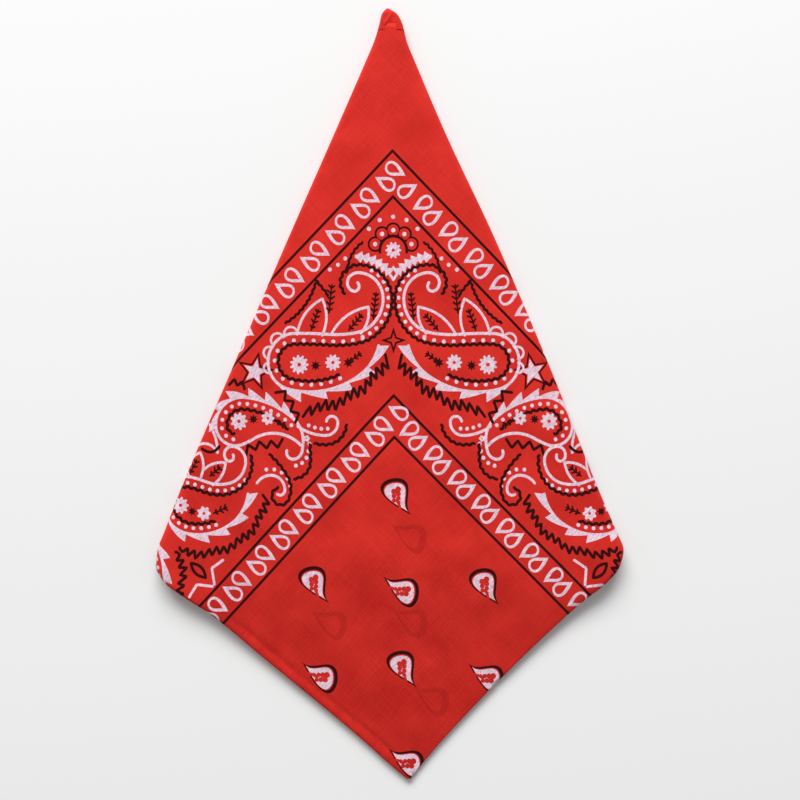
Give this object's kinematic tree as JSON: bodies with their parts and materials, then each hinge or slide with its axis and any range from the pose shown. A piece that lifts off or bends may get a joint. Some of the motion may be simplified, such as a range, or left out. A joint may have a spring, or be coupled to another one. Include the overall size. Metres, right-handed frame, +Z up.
{
  "type": "bandana",
  "caption": "Square cotton paisley bandana, folded in quarters with its sides folded behind into a kite, lying flat.",
  "frame": {"origin": "on the surface it lies on, under the middle of the kite's box", "axes": "+Z up from the surface; +Y from the cloth's centre (the bottom vertex) to its four hemmed corners (the tip); +X to the right as seen from above"},
  "size_m": [0.2366, 0.392, 0.0088],
  "materials": {
    "printed_cotton": "matt plain-weave cotton, printed in white and black",
    "hem_cotton": "matt plain-weave cotton, turned and stitched"
  },
  "bodies": {
    "root": {"front_layer": "printed_cotton", "left_flap": "printed_cotton", "right_flap": "printed_cotton", "back_layer": "printed_cotton", "left_hem": "hem_cotton", "right_hem": "hem_cotton", "hem_corner": "hem_cotton", "hidden_layers": "hem_cotton"}
  },
  "joints": []
}
